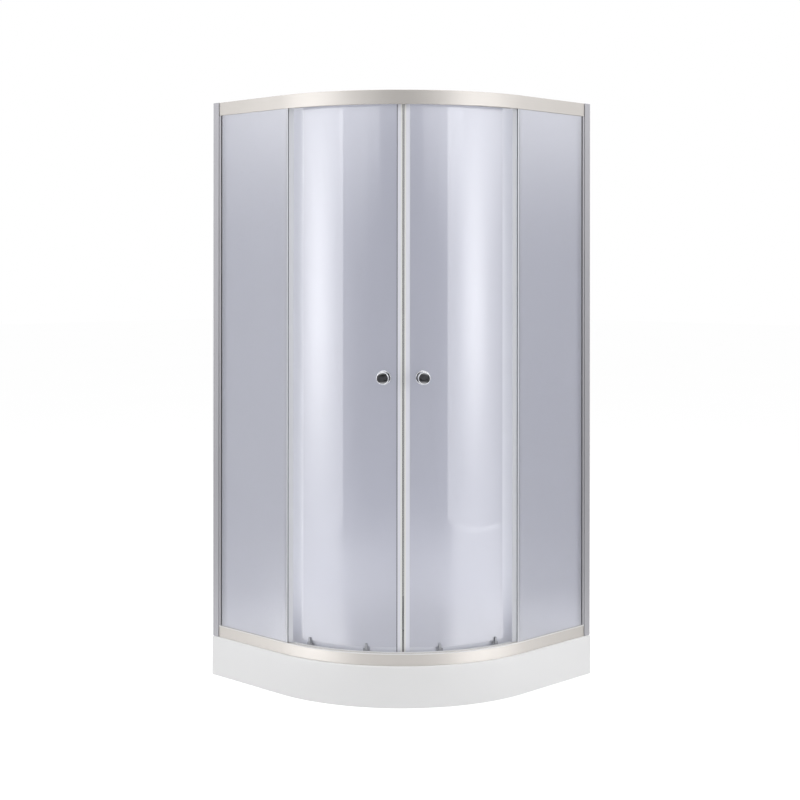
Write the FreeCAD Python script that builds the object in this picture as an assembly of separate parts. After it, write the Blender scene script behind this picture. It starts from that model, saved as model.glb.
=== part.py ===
import FreeCAD, Part
import math
import os

os.makedirs("parts", exist_ok=True)

# All lengths are in millimetres and all angles in degrees.
# The two room walls lie on the left plane and the back plane of the square plan,
# the rounded front faces the opposite corner, and the part stands on height zero.
# Left and right are as seen from outside, facing the doors.

# Plan and heights of the cabin
side_length = 900.0
front_radius = 550.0
cabin_height = 1920.0
tray_height = 130.0

# Tray
tray_skin = 4.0
tray_edge_round = 6.0
front_rim = 56.0
wall_rim = 44.0
basin_depth = 60.0
basin_wall_run = 22.0
basin_corner_radius = 60.0
basin_floor_round = 16.0
basin_rim_round = 6.0
wall_flange_height = 42.0

# Board and feet under the tray
board_thickness = 15.0
board_margin = 104.0
board_hole_radius = 68.0
board_slot_width = 64.0
foot_margin = 132.0
foot_pad_radius = 25.0
foot_pad_height = 8.0
foot_socket_depth = 4.0
foot_stud_radius = 5.0
foot_stud_bite = 12.0
foot_nut_radius = 9.5
foot_nut_height = 8.0
foot_play = 0.1

# Waste outlet
waste_distance = 200.0
waste_hole_radius = 43.0
waste_sleeve_radius = 42.0
waste_sleeve_wall = 3.0
waste_sleeve_length = 22.0
waste_flange_radius = 55.0
waste_flange_height = 3.0
waste_gasket_height = 3.0
waste_gasket_radius = 54.0
trap_radius = 48.0
trap_wall = 3.0
trap_flange_height = 4.0
trap_floor_height = 6.0
outlet_radius = 20.0
outlet_wall = 2.0
outlet_height = 30.0
outlet_reach = 105.0
outlet_root_radius = 23.0
outlet_spigot = 45.0
cover_radius = 54.0
cover_height = 7.0
cover_crown_round = 5.0
cover_foot_height = 2.0
cover_foot_radius = 5.0
cover_foot_circle_radius = 46.0
cover_skirt_radius = 37.0
cover_skirt_wall = 2.5
cover_skirt_length = 15.0
cover_slot_width = 16.0
cover_foot_count = 3

# Rails
rail_setback = 5.0
top_rail_height = 44.0
bottom_rail_height = 39.0
rail_wall = 1.6
rail_edge_round = 1.2
track_width = 18.2
track_wheel_line = 8.8
track_drop = 8.0
track_ledge = 1.8
track_lip_height = 3.0
groove_depth = 20.0
groove_cap_gap = 10.0
rail_end_gap = 0.8

# Glass
glass_thickness = 4.0
glass_play = 0.5
fixed_glass_overhang = 22.0
door_gap = 8.5
door_trail_angle = 46.5
door_top_cover = 31.0
door_foot_cover = 9.0

# Profiles on the walls
channel_width = 28.0
channel_wall = 1.6
channel_play = 0.4
profile_wall = 1.4
profile_show = 9.5
profile_depth = 28.0
profile_return = 6.0
gasket_base = 1.0
gasket_show = 3.0
wall_hole_radius = 3.0
wall_hole_outer_shares = (0.08, 0.92)
wall_hole_inner_shares = (0.36, 0.64)

# Blocks and screws that hold the frame together
block_tongue = 34.0
block_play = 0.3
screw_radius = 2.0
screw_length = 13.0
screw_head_radius = 4.0
screw_head_height = 2.4
screw_play = 0.1
profile_screw_shares = (0.06, 0.5, 0.94)
stop_run_share = 0.483
stop_length = 14.0
stop_play = 0.3

# Seals on the glass edges
seal_wall = 1.2
seal_play = 0.15
seal_bite = 12.0
seal_lip = 3.0
seal_end_gap = 1.0
fin_depth = 19.0
fin_lean = 7.0
fin_overlap = 2.0
fin_gap = 2.0
magnet_gap = 0.5
magnet_head = 8.5
magnet_head_wall = 1.5
magnet_bite = 11.5
magnet_top_cover = 12.0
magnet_edge_bevel = 1.2
magnet_width = 3.0
magnet_inset = 1.2
magnet_play = 0.1

# Knobs
knob_distance = 61.0
knob_height = 1023.0
knob_base_radius = 22.5
knob_base_height = 3.0
knob_neck_radius = 10.0
knob_neck_height = 15.0
knob_head_radius = 19.0
knob_reach = 38.0
knob_round = 1.5
knob_hole_depth = 12.0
knob_stud_radius = 3.0
knob_stud_play = 0.1
knob_glass_hole_radius = 6.0

# Rollers
lead_roller_angle = 13.1
trail_roller_angle = 35.5
wheel_width = 4.5
upper_wheel_radius = 10.0
lower_wheel_radius = 9.0
wheel_track_gap = 0.3
wheel_edge_bevel = 0.6
wheel_pocket_radius = 4.4
wheel_pocket_depth = 1.6
axle_radius = 2.5
axle_play = 0.05
axle_head_radius = 4.0
axle_head_height = 1.2
axle_head_inset = 0.2
bush_barrel_radius = 6.7
bush_glass_hole_radius = 7.0
bush_flange_radius = 9.5
bush_flange_height = 1.5
bush_spacer_radius = 4.75
bush_wheel_gap = 0.3
cap_radius = 10.0
cap_height = 4.0
cap_round = 1.5
cap_key_radius = 3.5
cap_key_depth = 2.0

# Lower roller clips and their sprung releases
clip_width = 20.0
clip_depth = 9.0
clip_top = 10.0
clip_foot = 13.0
clip_cheek = 1.6
clip_cheek_top = 5.0
clip_tab_width = 7.0
clip_tab_depth = 4.0
clip_tab_top = 20.0
spring_bore_radius = 3.5
spring_seat_height = 5.0
rod_radius = 2.0
rod_play = 0.1
collar_height = 2.0
collar_drop = 4.0
button_radius = 4.5
button_height = 5.0
release_travel = 5.0
release_margin = 0.5
foot_block_width = 9.0
foot_block_height = 9.6
foot_block_gap = 0.8
spring_wire_radius = 0.4
spring_coil_radius = 2.85
spring_turns = 6.0

# Working values
overrun = 2.0
diagonal_angle = 45.0
quarter_turn = 90.0
full_turn = 360.0
hexagon_sides = 6

Vec = FreeCAD.Vector
up = Vec(0, 0, 1)
outward = Vec(1, 0, 0)
half_side = side_length / 2
straight_length = side_length - front_radius
centre = Vec(straight_length - half_side, half_side - straight_length, 0)

# Radii and insets that follow from the sizes above
rail_radius = front_radius - rail_setback
groove_width = glass_thickness + 2 * glass_play
web_inset = rail_wall + groove_width
track_inset = web_inset + rail_wall
lip_inset = track_inset + track_width
rail_depth = lip_inset + rail_wall
glass_inset = rail_wall + glass_play
glass_back = glass_inset + glass_thickness
door_outer = rail_radius - rail_depth - door_gap
door_inner = door_outer - glass_thickness
wheel_line = rail_radius - track_inset - track_wheel_line
wheel_outer = wheel_line + wheel_width / 2
wheel_inner = wheel_line - wheel_width / 2

# Heights that follow from the sizes above
rail_floor_edge = tray_height + bottom_rail_height
rail_roof_edge = cabin_height - top_rail_height
ledge_depth = track_drop + track_ledge
upper_axle_height = rail_roof_edge + ledge_depth + wheel_track_gap + upper_wheel_radius
lower_axle_height = rail_floor_edge - ledge_depth - wheel_track_gap - lower_wheel_radius
door_top = rail_roof_edge + door_top_cover
door_foot = rail_floor_edge - door_foot_cover
basin_floor = tray_height - basin_depth
board_top = basin_floor - tray_skin
board_foot = board_top - board_thickness


def mirrored(shape):
    """The same piece on the right-hand half of the cabin."""
    return shape.mirror(Vec(0, 0, 0), Vec(1, 1, 0))


def merged(shapes):
    """Pieces of one solid joined into it."""
    return shapes[0].fuse(shapes[1:]).removeSplitter()


def side_point(along, inward, height):
    """A point by the left straight side: along it towards the wall, and inward of the rail face."""
    return Vec(centre.x - along, centre.y - rail_radius + inward, height)


def side_box(along, inward, height):
    """A box by the left straight side, from three pairs of limits."""
    corner = side_point(along[1], inward[0], height[0])
    sizes = (along[1] - along[0], inward[1] - inward[0], height[1] - height[0])
    return Part.makeBox(sizes[0], sizes[1], sizes[2], corner)


def front_point(radius, angle, height):
    """A point on the rounded front, at an angle from its middle towards the left."""
    turn = math.radians(-diagonal_angle - angle)
    return centre + Vec(radius * math.cos(turn), radius * math.sin(turn), height)


def prism(points, height):
    """An upright piece over a closed line of points."""
    face = Part.Face(Part.makePolygon(points + points[:1]))
    return face.extrude(Vec(0, 0, height))


def ring_sector(radii, angles, heights):
    """A curved upright wall between two radii, two angles and two heights."""
    middle = (angles[0] + angles[1]) / 2
    inner = [front_point(radii[0], angle, heights[0]) for angle in (angles[0], middle, angles[1])]
    outer = [front_point(radii[1], angle, heights[0]) for angle in (angles[0], middle, angles[1])]
    edges = [
        Part.Arc(inner[0], inner[1], inner[2]).toShape(),
        Part.makeLine(inner[2], outer[2]),
        Part.Arc(outer[2], outer[1], outer[0]).toShape(),
        Part.makeLine(outer[0], inner[0]),
    ]
    return Part.Face(Part.Wire(edges)).extrude(Vec(0, 0, heights[1] - heights[0]))


def on_front(shape, angle):
    """Turns a piece made with its outward side along the first axis to its place on the front."""
    moved = shape.copy()
    moved.rotate(Vec(0, 0, 0), up, -diagonal_angle - angle)
    moved.translate(centre)
    return moved


def spindle(radius, start, end, height):
    """A round piece pointing outward, between two distances from the centre of the front."""
    return Part.makeCylinder(radius, end - start, Vec(start, 0, height), outward)


def front_box(radii, widths, heights):
    """A box on the front before it is turned to its place."""
    sizes = (radii[1] - radii[0], widths[1] - widths[0], heights[1] - heights[0])
    return Part.makeBox(sizes[0], sizes[1], sizes[2], Vec(radii[0], widths[0], heights[0]))


def rounded_wire(corners):
    """A closed line through corner points, each with the radius of its rounding."""
    count = len(corners)
    ends = []
    for number, (point, radius) in enumerate(corners):
        back = (corners[number - 1][0] - point).normalize()
        ahead = (corners[(number + 1) % count][0] - point).normalize()
        half = back.getAngle(ahead) / 2
        run = radius / math.tan(half)
        middle = point + (back + ahead).normalize() * (radius / math.sin(half) - radius)
        ends.append((point + back * run, middle, point + ahead * run, radius))
    edges = []
    for number, (start, middle, end, radius) in enumerate(ends):
        if radius > 0:
            edges.append(Part.Arc(start, middle, end).toShape())
        edges.append(Part.makeLine(end, ends[(number + 1) % count][0]))
    return Part.Wire(edges)


def turned(profile, radius_at, distance_at):
    """A round piece from corners given as distance, radius and rounding."""
    corners = [(Vec(distance_at + x, 0, radius_at + y), rounding) for x, y, rounding in profile]
    face = Part.Face(rounded_wire(corners))
    return face.revolve(Vec(0, 0, radius_at), outward, full_turn)


def hexagon(radius, bottom, height):
    """An upright six-sided bar about the vertical axis."""
    points = []
    for side in range(hexagon_sides):
        turn = math.radians(side * full_turn / hexagon_sides)
        points.append(Vec(radius * math.cos(turn), radius * math.sin(turn), bottom))
    return prism(points, height)


def write(name, shapes):
    """Saves one node: one solid, or a group of like solids."""
    Part.makeCompound(shapes).exportStep("parts/" + name + ".step")


# Tray

def plan_wire(front_margin, wall_margin, corner, height):
    """The outline of the plan, moved in from the front and from the walls."""
    near = half_side - front_margin
    far = half_side - wall_margin
    bend = front_radius - front_margin
    left = Vec(-far, -near, height)
    back = Vec(-far, far, height)
    right = Vec(near, far, height)
    left_end = Vec(centre.x, -near, height)
    right_end = Vec(near, centre.y, height)
    middle = centre + Vec(1, -1, 0).normalize() * bend + Vec(0, 0, height)
    pieces = []
    for before, point, after in ((right_end, right, back), (right, back, left), (back, left, left_end)):
        run_in = (before - point).normalize() * corner
        run_out = (after - point).normalize() * corner
        bow = (run_in + run_out) * (1 - math.sqrt(2) / 2)
        pieces.append((point + run_in, point + bow, point + run_out))
    edges = []
    last = right_end
    for start, bow, end in pieces:
        edges.append(Part.makeLine(last, start))
        if corner > 0:
            edges.append(Part.Arc(start, bow, end).toShape())
        last = end
    edges.append(Part.makeLine(last, left_end))
    edges.append(Part.Arc(left_end, middle, right_end).toShape())
    return Part.Wire(edges)


def basin(grown):
    """The hollow of the tray, or the same form grown outward by the skin."""
    front = front_rim - grown
    wall = wall_rim - grown
    corner = basin_corner_radius + grown
    floor = basin_floor - grown
    run = basin_wall_run
    over = overrun * basin_wall_run / basin_depth
    above = plan_wire(front - over, wall - over, corner + over, tray_height + overrun)
    below = plan_wire(front + run, wall + run, corner - run, floor)
    body = Part.makeLoft([above, below], True, True)
    edges = [edge for edge in body.Edges if edge.BoundBox.ZMax < floor + overrun]
    return body.makeFillet(basin_floor_round + grown, edges)


def tray():
    """The moulded tray: apron, rim and basin as one skin, open below and behind."""
    block = Part.Face(plan_wire(0, 0, 0, 0)).extrude(Vec(0, 0, tray_height))
    lowest_top = tray_height - overrun
    edges = [edge for edge in block.Edges if edge.BoundBox.ZMin > lowest_top]
    block = block.makeFillet(tray_edge_round, edges)
    core = Part.Face(plan_wire(tray_skin, tray_skin, 0, -overrun))
    core = core.extrude(Vec(0, 0, tray_height - tray_skin + overrun)).cut(basin(tray_skin))
    shell = block.cut([core, basin(0)])
    rim = [face for face in shell.Faces if face.BoundBox.ZMin > lowest_top][0]
    inner_wires = [wire for wire in rim.Wires if not wire.isSame(rim.OuterWire)]
    shell = shell.makeFillet(basin_rim_round, inner_wires[0].Edges)
    open_height = tray_height - wall_flange_height
    reach = side_length - tray_skin
    left = Part.makeBox(tray_skin + overrun, reach, open_height + overrun)
    left.translate(Vec(-half_side - overrun, tray_skin - half_side, -overrun))
    hole = Part.makeCylinder(waste_hole_radius, basin_depth, waste_place(basin_floor - basin_depth / 2))
    shell = shell.cut([left, mirrored(left), hole])
    return shell.removeSplitter()


def waste_place(height):
    """The axis of the waste outlet, near the corner of the room."""
    return Vec(waste_distance - half_side, half_side - waste_distance, height)


def foot_places():
    """The five levelling feet: three corners, the front and the middle."""
    reach = half_side - foot_margin
    front = front_point(front_radius - foot_margin, 0, 0)
    return [
        Vec(-reach, -reach, 0),
        Vec(reach, reach, 0),
        Vec(-reach, reach, 0),
        front,
        Vec(0, 0, 0),
    ]


def support_board():
    """The board under the basin that carries the feet, open towards the wall for the waste pipe."""
    board = Part.Face(plan_wire(board_margin, board_margin, 0, board_foot))
    board = board.extrude(Vec(0, 0, board_thickness))
    slot = Part.makeBox(half_side, board_slot_width, board_thickness)
    slot.translate(waste_place(board_foot) - Vec(half_side, board_slot_width / 2, 0))
    holes = [Part.makeCylinder(board_hole_radius, board_thickness, waste_place(board_foot)), slot]
    for place in foot_places():
        bottom = place + Vec(0, 0, board_foot)
        holes.append(Part.makeCylinder(foot_stud_radius + foot_play, foot_stud_bite, bottom))
    return board.cut(holes)


def levelling_feet():
    """Pads, studs and lock nuts of the feet, as three groups."""
    pads, studs, nuts = [], [], []
    socket = foot_pad_height - foot_socket_depth
    bore = foot_stud_radius + foot_play
    for place in foot_places():
        pad = Part.makeCylinder(foot_pad_radius, foot_pad_height, place)
        pads.append(pad.cut(Part.makeCylinder(bore, foot_pad_height, place + Vec(0, 0, socket))))
        stud_height = board_foot + foot_stud_bite - socket
        studs.append(Part.makeCylinder(foot_stud_radius, stud_height, place + Vec(0, 0, socket)))
        nut = hexagon(foot_nut_radius, board_foot - foot_nut_height, foot_nut_height)
        nut = nut.cut(Part.makeCylinder(bore, board_foot))
        nut.translate(place)
        nuts.append(nut)
    return pads, studs, nuts


# Waste outlet

def tube(outer, inner, bottom, height):
    """An upright tube on the waste axis."""
    ring = Part.makeCylinder(outer, height, waste_place(bottom))
    return ring.cut(Part.makeCylinder(inner, height, waste_place(bottom)))


def waste_flange():
    """The ring on the basin floor with its sleeve through the hole."""
    inner = waste_sleeve_radius - waste_sleeve_wall
    ring = tube(waste_flange_radius, inner, basin_floor, waste_flange_height)
    sleeve = tube(waste_sleeve_radius, inner, basin_floor - waste_sleeve_length, waste_sleeve_length)
    return merged([ring, sleeve])


def waste_gasket():
    """The rubber ring between the basin and the trap."""
    return tube(waste_gasket_radius, waste_hole_radius, board_top - waste_gasket_height, waste_gasket_height)


def waste_trap():
    """The cup under the basin with its outlet pipe towards the left wall."""
    top = board_top - waste_gasket_height
    bore = trap_radius - trap_wall
    body = Part.makeCylinder(trap_radius, top - trap_floor_height, waste_place(trap_floor_height))
    flange = Part.makeCylinder(waste_gasket_radius, trap_flange_height, waste_place(top - trap_flange_height))
    root_reach = outlet_reach - outlet_spigot
    root = Part.makeCylinder(outlet_root_radius, root_reach, waste_place(outlet_height), -outward)
    pipe = Part.makeCylinder(outlet_radius, outlet_reach, waste_place(outlet_height), -outward)
    inside = Part.makeCylinder(bore, top, waste_place(trap_floor_height + trap_wall))
    pipe_inside = Part.makeCylinder(
        outlet_radius - outlet_wall, outlet_reach, waste_place(outlet_height), -outward
    )
    return merged([body, flange, root, pipe]).cut([inside, pipe_inside])


def waste_cover():
    """The domed cover, on short feet, with a slotted skirt inside the sleeve."""
    underside = basin_floor + waste_flange_height + cover_foot_height
    disc = Part.makeCylinder(cover_radius, cover_height, waste_place(underside))
    edges = [edge for edge in disc.Edges if edge.BoundBox.ZMin > underside + cover_height / 2]
    disc = disc.makeFillet(cover_crown_round, edges)
    skirt_inner = cover_skirt_radius - cover_skirt_wall
    skirt = tube(cover_skirt_radius, skirt_inner, underside - cover_skirt_length, cover_skirt_length)
    slots, feet = [], []
    for number in range(cover_foot_count):
        angle = number * full_turn / cover_foot_count
        slot = Part.makeBox(cover_radius, cover_slot_width, cover_skirt_length)
        slot.translate(waste_place(underside - cover_skirt_length) - Vec(0, cover_slot_width / 2, 0))
        slots.append(slot.rotate(waste_place(0), up, angle))
        place = waste_place(underside - cover_foot_height) + Vec(cover_foot_circle_radius, 0, 0)
        foot = Part.makeCylinder(cover_foot_radius, cover_foot_height, place)
        feet.append(foot.rotate(waste_place(0), up, angle))
    return merged([disc, skirt.cut(slots)] + feet)


# Rails

def rail(open_edge, away, height):
    """One curved rail, open towards the doors and closed on its far side."""

    def place(inward, depth):
        return side_point(0, inward, open_edge + away * depth)

    roof = height - rail_wall
    lip_end = ledge_depth + track_lip_height
    shelf = groove_depth + rail_wall
    corners = [
        (place(0, 0), rail_edge_round),
        (place(0, height), rail_edge_round),
        (place(rail_depth, height), 0),
        (place(rail_depth, roof), 0),
        (place(track_inset, roof), 0),
        (place(track_inset, ledge_depth), 0),
        (place(lip_inset, ledge_depth), 0),
        (place(lip_inset, lip_end), 0),
        (place(rail_depth, lip_end), 0),
        (place(rail_depth, track_drop), 0),
        (place(track_inset, track_drop), 0),
        (place(track_inset, 0), 0),
        (place(web_inset, 0), 0),
        (place(web_inset, groove_depth), 0),
        (place(rail_wall, groove_depth), 0),
        (place(rail_wall, 0), 0),
    ]
    chamber = [
        (place(rail_wall, shelf), 0),
        (place(rail_wall, roof), 0),
        (place(web_inset, roof), 0),
        (place(web_inset, shelf), 0),
    ]
    section = Part.Face(rounded_wire(corners)).cut(Part.Face(rounded_wire(chamber))).Faces[0]
    straight = section.extrude(Vec(channel_width + rail_end_gap - straight_length, 0, 0))
    curve = section.revolve(centre, up, quarter_turn)
    return merged([straight, curve, mirrored(straight), groove_cap(open_edge, away)])


def groove_cap(open_edge, away):
    """The shelf in front of the doors that closes the glass groove and the step to the track."""
    half = diagonal_angle - arc_angle(fixed_glass_overhang + groove_cap_gap, rail_radius)
    radii = (rail_radius - rail_depth + rail_edge_round, rail_radius - rail_edge_round)
    near = open_edge + away * rail_edge_round
    far = near + away * rail_wall
    return ring_sector(radii, (-half, half), (min(near, far), max(near, far)))


# Profiles, gaskets and glass by the left wall

def wall_channel():
    """The channel screwed to the wall, with its fixing holes and cross holes."""
    along = (straight_length - channel_width, straight_length)
    heights = (tray_height, cabin_height)
    face = -channel_play - channel_wall
    back = rail_depth + channel_play
    channel = merged([
        side_box((along[1] - channel_wall, along[1]), (face, back + channel_wall), heights),
        side_box(along, (face, -channel_play), heights),
        side_box(along, (back, back + channel_wall), heights),
    ])
    holes = []
    for share in wall_hole_outer_shares + wall_hole_inner_shares:
        height = tray_height + share * (cabin_height - tray_height)
        start = side_point(along[1] + overrun, rail_depth / 2, height)
        holes.append(Part.makeCylinder(wall_hole_radius, channel_wall + 2 * overrun, start, outward))
    for height in screw_heights():
        holes.append(frame_screw_bar(screw_radius + screw_play, height, overrun))
    return channel.cut(holes)


def screw_heights():
    """Heights of the frame screws on one wall: through both corner blocks and the profile."""
    span = rail_roof_edge - rail_floor_edge
    heights = [rail_floor_edge + share * span for share in profile_screw_shares]
    lowest = tray_height + bottom_rail_height / 2
    highest = cabin_height - top_rail_height / 2
    return [lowest] + heights + [highest]


def frame_screw_bar(radius, height, extra):
    """A bar along a frame screw, from outside the channel inward."""
    along = straight_length - channel_width / 2
    back = rail_depth + channel_play + channel_wall
    start = side_point(along, back + extra, height)
    return Part.makeCylinder(radius, screw_length + extra, start, Vec(0, -1, 0))


def frame_screws():
    """The screws of one wall side, heads towards the inside of the cabin."""
    screws = []
    along = straight_length - channel_width / 2
    back = rail_depth + channel_play + channel_wall
    for height in screw_heights():
        start = side_point(along, back, height)
        head = Part.makeCylinder(screw_head_radius, screw_head_height, start, Vec(0, 1, 0))
        screws.append(merged([frame_screw_bar(screw_radius, height, 0), head]))
    return screws


def glazing_profile():
    """The profile that slides in the wall channel and holds the edge of the fixed glass."""
    lip = straight_length - channel_width - profile_show
    root = lip + profile_depth
    floor = lip + profile_show
    heights = (rail_floor_edge, rail_roof_edge)
    groove_back = glass_back + glass_inset - profile_wall
    body = merged([
        side_box((lip, root), (0, profile_wall), heights),
        side_box((lip + profile_return, root), (rail_depth - profile_wall, rail_depth), heights),
        side_box((floor, floor + profile_wall), (0, rail_depth), heights),
        side_box((lip, floor + profile_wall), (groove_back, groove_back + profile_wall), heights),
    ])
    return body.cut([frame_screw_bar(screw_radius + screw_play, height, 0) for height in screw_heights()])


def glazing_gasket():
    """The rubber lining between the glazing profile and the glass."""
    floor = straight_length - channel_width
    lip = floor - profile_show - gasket_show
    heights = (rail_floor_edge, rail_roof_edge)
    outer = side_box((lip, floor), (profile_wall, glass_back + glass_inset - profile_wall), heights)
    return outer.cut(side_box((lip, floor - gasket_base), (glass_inset, glass_back), heights))


def fixed_glass():
    """The flat pane from the wall profile to just past the end of the straight side."""
    along = (-fixed_glass_overhang, straight_length - channel_width - gasket_base)
    heights = (rail_floor_edge - groove_depth, rail_roof_edge + groove_depth)
    return side_box(along, (glass_inset, glass_back), heights)


def fixed_seal():
    """The clear strip on the free edge of the fixed pane, with its fin towards the door."""
    end = -fixed_glass_overhang
    inside = glass_back + seal_wall
    outside = glass_inset - seal_wall
    bottom = rail_floor_edge + seal_end_gap
    outline = [
        (end + seal_lip, outside),
        (end - seal_wall, outside),
        (end - seal_wall, inside),
        (end - seal_wall - fin_lean, fin_depth),
        (end - fin_lean, fin_depth),
        (end, inside),
        (end + seal_bite, inside),
        (end + seal_bite, glass_back),
        (end, glass_back),
        (end, glass_inset),
        (end + seal_lip, glass_inset),
    ]
    points = [side_point(along, inward, bottom) for along, inward in outline]
    return prism(points, rail_roof_edge - seal_end_gap - bottom)


def corner_blocks():
    """The lower and upper block that join the rails to the wall channel on one side."""
    blocks = []
    along = (straight_length - channel_width, straight_length - channel_wall - block_play)
    inward = (0, rail_depth)
    tongue_along = (along[0] - block_tongue, along[0])
    tongue_inward = (track_inset + block_play, lip_inset - block_play)
    low = (tray_height, rail_floor_edge)
    low_tongue = (tray_height + rail_wall + block_play, rail_floor_edge - ledge_depth - track_lip_height)
    high = (rail_roof_edge, cabin_height)
    high_tongue = (rail_roof_edge + ledge_depth + track_lip_height, cabin_height - rail_wall - block_play)
    for heights, tongue_heights in ((low, low_tongue), (high, high_tongue)):
        body = side_box(along, inward, heights)
        tongue = side_box(tongue_along, tongue_inward, tongue_heights)
        block = merged([body, tongue])
        bars = [frame_screw_bar(screw_radius + screw_play, height, 0) for height in screw_heights()]
        blocks.append(block.cut(bars))
    return blocks


def door_stops():
    """The rubber buffers in both rails that end the travel of the left door."""
    start = straight_length * stop_run_share
    along = (start, start + stop_length)
    inward = (track_inset + stop_play, lip_inset - stop_play)
    low = (tray_height + rail_wall, rail_floor_edge - ledge_depth)
    high = (rail_roof_edge + ledge_depth, cabin_height - rail_wall)
    return [side_box(along, inward, low), side_box(along, inward, high)]


# Left door

def arc_angle(distance, radius):
    """The angle that a sideways distance takes up at a radius."""
    return math.degrees(math.asin(distance / radius))


def roller_angles():
    """The places of the two rollers along the door."""
    return (lead_roller_angle, trail_roller_angle)


def door_glass():
    """The curved pane with its holes for the knob and the upper rollers."""
    lead = arc_angle(magnet_gap + magnet_head, door_outer)
    pane = ring_sector((door_inner, door_outer), (lead, door_trail_angle), (door_foot, door_top))
    start = door_inner - overrun
    end = door_outer + overrun
    knob_hole = spindle(knob_glass_hole_radius, start, end, knob_height)
    holes = [on_front(knob_hole, arc_angle(knob_distance, door_outer))]
    roller_hole = spindle(bush_glass_hole_radius, start, end, upper_axle_height)
    holes += [on_front(roller_hole, angle) for angle in roller_angles()]
    return pane.cut(holes)


def magnet_seal():
    """The white strip on the leading edge, holding the magnet."""
    heights = (door_foot + seal_end_gap, rail_roof_edge + magnet_top_cover)
    outside = door_outer + magnet_head_wall
    inside = door_inner - magnet_head_wall
    far = -magnet_gap - magnet_head
    bevel = magnet_edge_bevel
    outline = [
        (outside, far),
        (outside, -magnet_gap - bevel),
        (outside - bevel, -magnet_gap),
        (inside + bevel, -magnet_gap),
        (inside, -magnet_gap - bevel),
        (inside, far),
    ]
    head = prism([Vec(x, y, heights[0]) for x, y in outline], heights[1] - heights[0])
    pocket = magnet_box(magnet_play, overrun)
    lead = arc_angle(magnet_gap + magnet_head, door_outer)
    start = arc_angle(magnet_gap + magnet_head / 2, door_outer)
    end = lead + arc_angle(magnet_bite, door_outer)
    slot = (door_inner - seal_play, door_outer + seal_play)
    outer_wall = ring_sector((slot[1], outside), (start, end), heights)
    inner_wall = ring_sector((inside, slot[0]), (start, end), heights)
    body = merged([on_front(head, 0), outer_wall, inner_wall])
    return body.cut([on_front(pocket, 0), ring_sector(slot, (lead, end), heights)])


def magnet_box(grown, extra):
    """The magnet strip in its place, or its pocket when grown."""
    near = -magnet_gap - magnet_inset
    radii = (door_inner - grown, door_outer + grown)
    widths = (near - magnet_width - grown, near + grown)
    heights = (door_foot + seal_end_gap - extra, rail_roof_edge + magnet_top_cover + extra)
    return front_box(radii, widths, heights)


def trailing_seal():
    """The clear strip on the trailing edge, with its fin hooked behind the fixed strip."""
    heights = (rail_floor_edge + seal_end_gap, rail_roof_edge - seal_end_gap)
    slot = (door_inner - seal_play, door_outer + seal_play)
    start = door_trail_angle - arc_angle(seal_bite, door_outer)
    end = door_trail_angle + arc_angle(seal_wall, door_outer)
    clip = ring_sector((slot[0] - seal_wall, slot[1] + seal_wall), (start, end), heights)
    clip = clip.cut(ring_sector(slot, (start, door_trail_angle), heights))
    root = slot[1] + seal_wall / 2
    tip = rail_radius - fin_depth + fin_overlap
    tip_shift = fixed_glass_overhang + fin_lean - fin_gap
    tip_angle = diagonal_angle - arc_angle(tip_shift, tip)
    tip_end = tip_angle + arc_angle(seal_wall, tip)
    outline = [
        (root, start),
        (tip, tip_angle),
        (tip, tip_end),
        (root, start + arc_angle(seal_wall, root)),
    ]
    points = [front_point(radius, angle, heights[0]) for radius, angle in outline]
    return merged([clip, prism(points, heights[1] - heights[0])])


def knob():
    """The outer knob with its blind hole, before it is turned to its place."""
    neck = knob_neck_height + knob_base_height
    profile = [
        (0, 0, 0),
        (0, knob_base_radius, 0),
        (knob_base_height, knob_base_radius, knob_round),
        (knob_base_height, knob_neck_radius, knob_round),
        (neck, knob_neck_radius, knob_round),
        (neck, knob_head_radius, knob_round),
        (knob_reach, knob_head_radius, knob_round),
        (knob_reach, 0, 0),
    ]
    body = turned(profile, knob_height, door_outer)
    bore = knob_stud_radius + knob_stud_play
    return body.cut(spindle(bore, door_outer, door_outer + knob_hole_depth, knob_height))


def inner_seat(radius):
    """Where a flat round base of this radius meets the hollow side of the curved glass."""
    return math.sqrt(door_inner * door_inner - radius * radius)


def inner_knob():
    """The same knob on the inner face of the glass."""
    middle = Vec((door_outer + inner_seat(knob_base_radius)) / 2, 0, 0)
    return knob().mirror(middle, outward)


def knob_stud():
    """The stud through the glass that joins the two knobs."""
    reach = knob_hole_depth - knob_base_height
    return spindle(knob_stud_radius, door_inner - reach, door_outer + reach, knob_height)


def upper_bush():
    """The bush in the glass with its spacer towards the wheel."""
    flange_end = door_outer + bush_flange_height
    spacer_end = wheel_inner - bush_wheel_gap
    body = merged([
        spindle(bush_barrel_radius, door_inner, door_outer, upper_axle_height),
        spindle(bush_flange_radius, door_outer, flange_end, upper_axle_height),
        spindle(bush_spacer_radius, flange_end, spacer_end, upper_axle_height),
    ])
    return body.cut(spindle(axle_radius + axle_play, door_inner, spacer_end, upper_axle_height))


def upper_axle():
    """The axle bolt: round cap inside the cabin, shank through the bush, small head in the wheel."""
    head_end = wheel_outer - axle_head_inset
    profile = [
        (0, 0, 0),
        (0, cap_radius, cap_round),
        (cap_height, cap_radius, 0),
        (cap_height, 0, 0),
    ]
    cap_end = inner_seat(cap_radius)
    cap = turned(profile, upper_axle_height, cap_end - cap_height)
    key = hexagon(cap_key_radius, 0, cap_key_depth)
    key.rotate(Vec(0, 0, 0), Vec(0, 1, 0), quarter_turn)
    key.translate(Vec(cap_end - cap_height, 0, upper_axle_height))
    shank = spindle(axle_radius, cap_end - cap_height / 2, head_end, upper_axle_height)
    head = spindle(axle_head_radius, head_end - axle_head_height, head_end, upper_axle_height)
    return merged([cap.cut(key), shank, head])


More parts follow.
